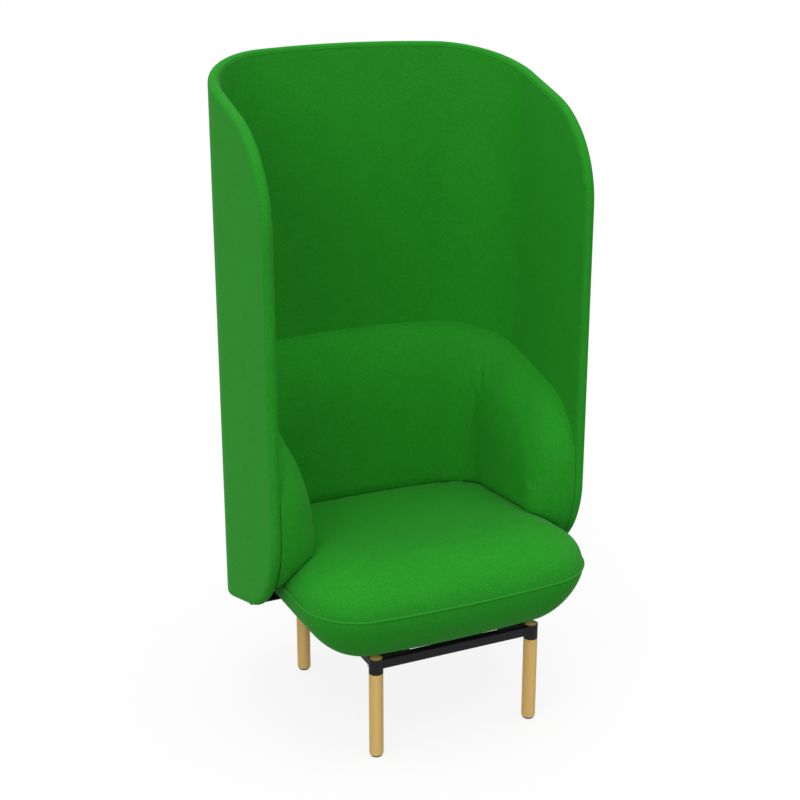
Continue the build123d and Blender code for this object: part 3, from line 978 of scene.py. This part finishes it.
# ---- the seat ---------------------------------------------------------------------------
@dataclass
class Seat:
    """The seat cushion: crowned above its sewn welt, tucked in to the deck below it."""

    finishes: dict[Slot, bpy.types.Material]
    shell: AcousticShell
    side_gap: float = 21 * MM
    front_bow: float = 2600 * MM
    front_corner: float = 135 * MM
    seam_z: float = 366 * MM
    crown_z: float = 460 * MM
    crown_y: float = -215 * MM
    crown_blend: float = 90 * MM
    crown_fall: float = 0.095  # how steeply the seat falls from its crown to the back
    welt_proud: float = 2 * MM
    roll_width: float = 150 * MM
    roll_power: float = 2.2
    tuck_width: float = 97 * MM
    tuck_power: float = 1.45
    tuck_drop_power: float = 1.65
    tuck_follow: float = 0.7  # 1 keeps the tuck even, less draws the corners in more
    deck_inset: float = 97 * MM
    flange: float = 5 * MM
    seam_pinch: float = 2.5 * MM
    offset_limit: float = 95 * MM  # further in than this the rings only shrink to the middle
    fabric: float = 0.6 * MM
    deck_gap: float = 2 * MM  # from the top of the deck up to the foam over it
    sewn_reach: float = 2 * MM  # the seam holds the cover this far above and below it
    stapled_reach: float = 8 * MM  # the staples hold it this far up from the deck's underside

    def __post_init__(self) -> None:
        """Read the seat's place from the frame and set out its outline."""
        low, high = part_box("seat_welt")
        self.cord = (high.z - low.z) / 2
        self.half = high.x - self.welt_proud
        self.front_y = low.y + self.welt_proud
        self.deck_low, self.deck_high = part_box("seat_deck")
        self.middle = Vector((0, (low.y + high.y) / 2, 0))
        self.inset = self.shell.thickness + self.side_gap

    def outline(self) -> list[Station]:
        """The closed outline of the seat, seen from above."""
        plan = self.shell.plan
        rear = BowedPlan(
            self.half, plan.back_y - self.inset, plan.corner - self.inset, plan.bow - self.inset
        )
        corner_x = self.half - self.front_corner
        bow_y = self.front_y + self.front_bow
        reach = self.front_bow - self.front_corner
        corner_y = bow_y - sqrt(reach**2 - corner_x**2)
        lean = degrees(asin(corner_x / reach))
        side_ys = spread(corner_y, rear.corner_y, steps=26)
        sides = rear.stations(side_ys, corner_steps=20, back_steps=26)
        right = arc_stations((corner_x, corner_y), self.front_corner, 0.0, lean - 90.0, steps=16)
        front = arc_stations((0.0, bow_y), self.front_bow, lean - 90.0, -90.0 - lean, steps=36)
        left = [Station(-s.x, s.y, -s.out_x, s.out_y) for s in reversed(right)]
        return sides + right[1:] + front[1:-1] + left[:-1]

    def depth(self, x: float, y: float) -> float:
        """How far a point lies inside the seat's outline, away from its front corners."""
        bow_y = self.front_y + self.front_bow
        return min(self.shell.plan.depth(x, y) - self.inset, self.front_bow - hypot(x, y - bow_y))

    def level(self, y: float) -> float:
        """Height that the middle of the seat reaches at y, sloping down to the back."""
        behind = y - self.crown_y
        return self.crown_z - self.crown_fall * (behind + hypot(behind, self.crown_blend)) / 2

    def top_z(self, x: float, y: float) -> float:
        """Height of the cover over a point, or of the seam outside the outline."""
        rise = ease(self.depth(x, y) / self.roll_width, self.roll_power)
        return self.seam_z + (self.level(y) - self.seam_z) * rise

    def upper_rings(self, outline: Sequence[Station]) -> list[list[Vector]]:
        """Rings from the seam up round the roll, over the crown and to its middle."""
        rings = []
        for turn in spread(0.0, 90.0, steps=20)[1:]:
            angle = radians(turn)
            inset = self.roll_width * (1.0 - cos(angle) ** (2 / self.roll_power))
            rise = sin(angle) ** (2 / self.roll_power)
            near = min(inset, self.offset_limit)
            shrink = 1.0 - (inset - near) / (self.half - self.offset_limit)
            ring = []
            for station in outline:
                point = self.middle + (station.inward(near, 0.0) - self.middle) * shrink
                point.z = self.seam_z + (self.level(point.y) - self.seam_z) * rise
                ring.append(point)
            rings.append(ring)
        roll_end = rings[-1]
        for share in spread(1.0, 0.0, steps=16)[1:]:
            ring = []
            for edge in roll_end:
                point = self.middle + (edge - self.middle) * share
                point.z = self.level(point.y)
                ring.append(point)
            rings.append(ring)
        return rings

    def lower_rings(self, outline: Sequence[Station]) -> list[list[Vector]]:
        """Rings from under the deck out to the tucked side and up to the seam."""
        under = self.deck_low.z
        fabric = self.fabric
        inner = self.deck_inset + self.flange
        rings = [
            [s.inward(self.deck_inset, self.deck_high.z + self.deck_gap) for s in outline],
            [s.inward(self.deck_inset, under + fabric) for s in outline],
            [s.inward(inner, under + fabric / 6) for s in outline],
            [s.inward(inner, under - fabric) for s in outline],
        ]
        for turn in spread(90.0, 0.0, steps=20)[:-1]:
            angle = radians(turn)
            inset = self.tuck_width * (1.0 - cos(angle) ** (2 / self.tuck_power))
            drop = sin(angle) ** (2 / self.tuck_drop_power)
            z = self.seam_z - (self.seam_z - under + fabric) * drop
            shrink = 1.0 - (1.0 - self.tuck_follow) * inset / self.half
            ring = []
            for station in outline:
                point = station.inward(self.tuck_follow * inset, z)
                point = self.middle + (point - self.middle) * shrink
                ring.append(Vector((point.x, point.y, z)))
            rings.append(ring)
        rings.append([s.inward(self.seam_pinch, self.seam_z) for s in outline])
        return rings

    def is_held(self, point: Vector) -> bool:
        """Whether the cover is sewn or stapled fast at a point."""
        is_sewn = abs(point.z - self.seam_z) < self.sewn_reach
        return is_sewn or point.z < self.deck_low.z + self.stapled_reach

    def build(self) -> None:
        """Build the cushion and the welt round it."""
        outline = self.outline()
        centre = self.middle + Vector((0, 0, self.deck_high.z + self.deck_gap))
        rings = [[centre] * len(outline)] + self.lower_rings(outline) + self.upper_rings(outline)
        cover = Skin("seat_cushion")
        cover.patch(rings, closed=True)
        cushion = cover.build(self.finishes[Slot.GREEN_FABRIC])
        Filling().swell(cushion, self.is_held)
        cushion.modifiers.new("smooth", "SUBSURF").render_levels = 1
        place_piece(cushion, ["seat_upper_cushion", "seat_lower_cushion"])
        path = [s.inward(self.cord - self.welt_proud, self.seam_z) for s in outline]
        welt = Skin("seat_piping")
        welt.patch(tube_rows(path, self.cord, sides=10), closed=True)
        place_piece(
            welt.build(self.finishes[Slot.WELT_FABRIC]), ["seat_welt"]
        )


# ---- the low back and arms --------------------------------------------------------------
@dataclass
class LowBack:
    """The low back and arms: one soft pad round the inside of the shell."""

    finishes: dict[Slot, bpy.types.Material]
    shell: AcousticShell
    seat: Seat
    half: float = 268 * MM
    back_y: float = 237 * MM
    valley_radius: float = 80 * MM
    top_level: float = 809 * MM
    top_slope: float = 0.27
    front_radius: float = 165 * MM
    setback: float = 4 * MM
    top_roll: float = 200 * MM
    front_roll: float = 45 * MM
    lower_roll: float = 40 * MM
    roll_power: float = 2.1
    seat_press: float = 1.5 * MM  # how far the pad sinks into the soft cover of the seat
    foot_gap: float = 5 * MM  # from the seat's seam up to the foot of the pad
    thickest: float = 200 * MM  # the search for the pad's thickness begins here
    halvings: int = 30
    sewn_reach: float = 1 * MM  # the cover is held this near to the shell
    pressed_reach: float = 40 * MM  # and this far up from the foot
    rows: int = 52

    def __post_init__(self) -> None:
        """Set out the pad's edges on the inside of the shell."""
        self.base = self.shell.inner_plan
        self.front_y = self.shell.front_y + self.setback
        self.top = SlopedEdge(
            self.top_level,
            self.top_slope,
            self.base.back_y,
            self.front_y,
            self.front_radius,
            upper=True,
        )
        self.bottom = replace(self.shell.bottom, front_y=self.front_y)
        self.face = BowedPlan(self.half, self.back_y, self.valley_radius, self.shell.bow_radius)
        self.foot_z = self.seat.seam_z + self.foot_gap

    def full_thickness(self, column: Station) -> float:
        """Thickness of the pad from the shell to its face, looking inward from a station."""
        near, far = 0.0, self.thickest
        for _ in range(self.halvings):
            middle = (near + far) / 2
            point = column.inward(middle, 0.0)
            if self.face.depth(point.x, point.y) > 0.0:
                far = middle
            else:
                near = middle
        return far

    def thickness(self, column: Station, full: float, z: float) -> float:
        """Thickness of the pad at one station and height, rolling off towards its edges."""
        across = abs(column.out_x)
        upper = self.top.share(column.y, z, across, self.top_roll, self.front_roll)
        lower = self.bottom.share(column.y, z, across, self.lower_roll, self.front_roll)
        return full * ease(upper, self.roll_power) * ease(lower, self.roll_power)

    def rest_on_seat(self, point: Vector) -> Vector:
        """Lift a point of the pad onto the crown of the seat where it would sink into it."""
        if self.seat.depth(point.x, point.y) < 0.0:
            return point
        lowest = self.seat.top_z(point.x, point.y) - self.seat_press
        return Vector((point.x, point.y, max(point.z, lowest)))

    def build(self) -> None:
        """Build the pad."""
        ys = front_spread(self.front_y, self.front_radius, self.base.corner_y, steps=22)
        columns = self.base.stations(ys, corner_steps=26, back_steps=34)
        full = [self.full_thickness(column) for column in columns]
        lows = [max(self.bottom.height(c.y), self.foot_z) for c in columns]
        highs = [self.top.height(c.y) for c in columns]
        face, back = [], []
        for step in range(self.rows + 1):
            share = (1.0 - cos(pi * step / self.rows)) / 2
            face_row, back_row = [], []
            for column, deep, low, high in zip(columns, full, lows, highs):
                z = low + (high - low) * share
                face_row.append(column.inward(self.thickness(column, deep, z), z))
                back_row.append(column.inward(0.0, z))
            face.append(face_row)
            back.append(back_row)
        underside = []
        for share in spread(0.0, 1.0, steps=8):
            underside.append([b.lerp(f, share) for b, f in zip(back[0], face[0])])
        pad = Skin("low_back_pad")
        pad.patch([[self.rest_on_seat(p) for p in row] for row in face])
        pad.patch([[self.rest_on_seat(p) for p in row] for row in underside])
        pad.patch(back)
        piece = pad.build(self.finishes[Slot.GREEN_FABRIC])
        Filling().swell(piece, self.is_held)
        piece.modifiers.new("smooth", "SUBSURF").render_levels = 1
        place_piece(
            piece,
            ["back_cushion", "arm_cushion_left", "arm_cushion_right"],
        )

    def is_held(self, point: Vector) -> bool:
        """Whether the cover is sewn to the shell or pressed on the seat at a point."""
        is_sewn = self.base.depth(point.x, point.y) < self.sewn_reach
        return is_sewn or point.z < self.foot_z + self.pressed_reach


# ---- carried-over pieces ----------------------------------------------------------------
@dataclass
class Understructure:
    """The base, the boards and the fasteners, whose solids already have their real shape."""

    finishes: dict[Slot, bpy.types.Material]
    nodes: dict[str, bpy.types.Object]
    record: dict[str, object]

    def dress(self) -> None:
        """Give each carried-over node the finish of its slot, with its real hard edges."""
        slots = {part["node"]: Slot(part["material_slot"]) for part in self.record["subparts"]}
        for name, node in self.nodes.items():
            node.data.materials.clear()
            node.data.materials.append(self.finishes[slots[name]])
            LOG.info("%s: dressed as %s", name, slots[name].value)


# ---- the studio -------------------------------------------------------------------------
@dataclass(frozen=True)
class SoftLamp:
    """A broad soft lamp, very far off."""

    name: str
    strength: float
    width: float  # degrees that it fills, seen from the chair
    tilt: float  # degrees away from straight overhead
    turn: float  # degrees round from the chair's front, negative to the viewer's left


@dataclass
class Studio:
    """A plain white room with soft light, seen from the photograph's viewpoint."""

    floor_reach: float = 60.0
    floor_white: str = "#FFFFFF"
    floor_bounce: str = "#898989"  # what the underside of the chair gets back from the floor
    floor_glow: float = 0.85  # how far the floor fades to plain white where it is seen
    fill_strength: float = 0.78
    lamps: tuple[SoftLamp, ...] = (
        SoftLamp("overhead", strength=0.57, width=40.0, tilt=10.0, turn=0.0),
        SoftLamp("left_side", strength=0.7, width=40.0, tilt=65.0, turn=-52.0),
    )
    camera_target: tuple[float, float, float] = (-0.03354, -0.037, 0.73875)
    camera_distance: float = 3.3764
    camera_azimuth: float = -25.08
    camera_elevation: float = 18.845
    focal_pixels: float = 1522.3
    image_pixels: float = 800.0
    sensor_mm: float = 36.0
    clip_end: float = 200.0

    @staticmethod
    def seen(material: bpy.types.Material | bpy.types.World) -> bpy.types.NodeSocket:
        """Add the test of whether the camera or a shiny surface looks at this material.

        Args:
            material: The floor's material or the world.

        Returns:
            The socket that gives 1 where it is looked at, and 0 where it only gives light.
        """
        ray = add_node(material, "ShaderNodeLightPath")
        return add_node(
            material,
            "ShaderNodeMath",
            {"operation": "MAXIMUM"},
            {0: ray.outputs["Is Camera Ray"], 1: ray.outputs["Is Glossy Ray"]},
        ).outputs["Value"]

    def floor(self) -> None:
        """Lay a pale floor that fades to plain white where it is seen but keeps the shadow."""
        reach = self.floor_reach
        corners = [(-reach, -reach, 0), (reach, -reach, 0), (reach, reach, 0), (-reach, reach, 0)]
        mesh = bpy.data.meshes.new("floor")
        mesh.from_pydata(corners, [], [(0, 1, 2, 3)])
        paint = empty_material("matt_white_floor_paint")
        seen = self.seen(paint)
        share = add_node(
            paint, "ShaderNodeMath", {"operation": "MULTIPLY"}, {0: seen, 1: self.floor_glow}
        )
        tone = add_node(
            paint,
            "ShaderNodeMix",
            {"data_type": "RGBA"},
            {0: seen, 6: linear(self.floor_bounce), 7: linear(self.floor_white)},
        )
        matt = add_node(paint, "ShaderNodeBsdfDiffuse", inputs={"Color": tone.outputs[2]})
        white = add_node(paint, "ShaderNodeEmission", inputs={"Strength": 1.0})
        mixed = add_node(
            paint,
            "ShaderNodeMixShader",
            inputs={0: share.outputs["Value"], 1: matt.outputs["BSDF"], 2: white.outputs[0]},
        )
        add_node(paint, "ShaderNodeOutputMaterial", inputs={"Surface": mixed.outputs["Shader"]})
        mesh.materials.append(paint)
        floor = bpy.data.objects.new("floor", mesh)
        bpy.context.scene.collection.objects.link(floor)

    def light(self) -> None:
        """Fill the room with even white light, and hang two broad soft lamps in it."""
        world = bpy.data.worlds.new("white_room")
        bpy.context.scene.world = world
        world.use_nodes = True
        world.node_tree.nodes.clear()
        fill = add_node(world, "ShaderNodeBackground", inputs={"Strength": self.fill_strength})
        wall = add_node(world, "ShaderNodeBackground", inputs={"Strength": 1.0})
        for background in (fill, wall):
            background.inputs["Color"].default_value = (1, 1, 1, 1)
        mixed = add_node(
            world,
            "ShaderNodeMixShader",
            inputs={0: self.seen(world), 1: fill.outputs[0], 2: wall.outputs[0]},
        )
        add_node(world, "ShaderNodeOutputWorld", inputs={"Surface": mixed.outputs["Shader"]})
        for lamp in self.lamps:
            sun = bpy.data.lights.new(lamp.name, "SUN")
            sun.energy = lamp.strength
            sun.angle = radians(lamp.width)
            holder = bpy.data.objects.new(lamp.name, sun)
            holder.rotation_euler = (radians(lamp.tilt), 0.0, radians(lamp.turn))
            bpy.context.scene.collection.objects.link(holder)

    def camera(self) -> None:
        """Place the camera where the photograph was taken from."""
        azimuth, elevation = radians(self.camera_azimuth), radians(self.camera_elevation)
        back = Vector(
            (
                sin(azimuth) * cos(elevation),
                -cos(azimuth) * cos(elevation),
                sin(elevation),
            )
        )
        lens = bpy.data.cameras.new("photo_camera")
        lens.sensor_fit = "HORIZONTAL"
        lens.sensor_width = self.sensor_mm
        lens.lens = self.focal_pixels / self.image_pixels * self.sensor_mm
        lens.clip_end = self.clip_end
        holder = bpy.data.objects.new("photo_camera", lens)
        holder.location = Vector(self.camera_target) + back * self.camera_distance
        holder.rotation_euler = back.to_track_quat("Z", "Y").to_euler()
        bpy.context.scene.collection.objects.link(holder)
        bpy.context.scene.camera = holder


def main() -> None:
    """Load the frame, build every part of the chair's dress, and set the studio."""
    logging.basicConfig(level=logging.INFO, format="%(name)s: %(message)s")
    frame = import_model()
    bpy.context.scene.view_settings.view_transform = "Standard"
    studio = Studio()
    studio.camera()
    studio.light()
    studio.floor()
    finishes = build_finishes()
    Understructure(finishes, frame["nodes"], frame["record"]).dress()
    shell = AcousticShell(finishes)
    shell.build()
    seat = Seat(finishes, shell)
    seat.build()
    LowBack(finishes, shell, seat).build()


if __name__ == "__main__":
    main()
